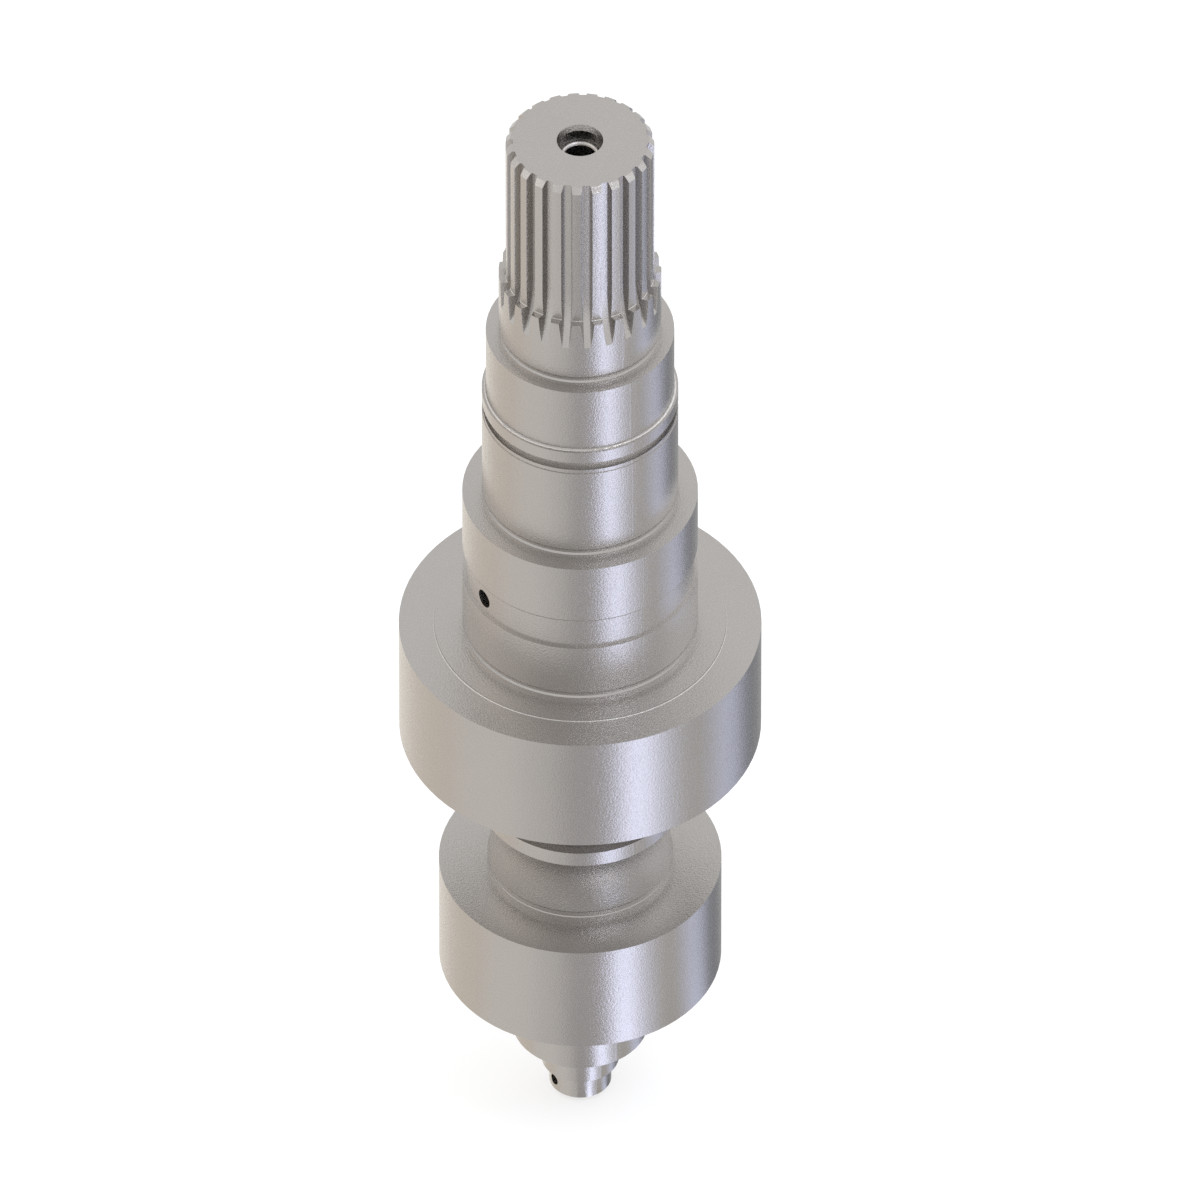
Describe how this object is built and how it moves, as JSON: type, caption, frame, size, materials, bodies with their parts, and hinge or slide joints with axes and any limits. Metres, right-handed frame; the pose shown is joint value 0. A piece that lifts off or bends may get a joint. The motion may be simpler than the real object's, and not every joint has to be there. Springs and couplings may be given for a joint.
{
  "type": "input shaft",
  "caption": "Stepped input shaft with a splined end, a bearing journal with a retaining ring groove, an oil-fed collar, large and small discs and a stepped tail.",
  "frame": {"origin": "centre of the tail pin's end face", "axes": "+Z along the shaft towards the splined end; the oil hole and the tail's cross hole lie on -Y"},
  "size_m": [0.0925, 0.0924, 0.3288],
  "materials": {
    "machined_steel": "fine-turned and ground alloy steel, satin, uncoated"
  },
  "bodies": {
    "root": {"input_shaft": "machined_steel"}
  },
  "joints": []
}
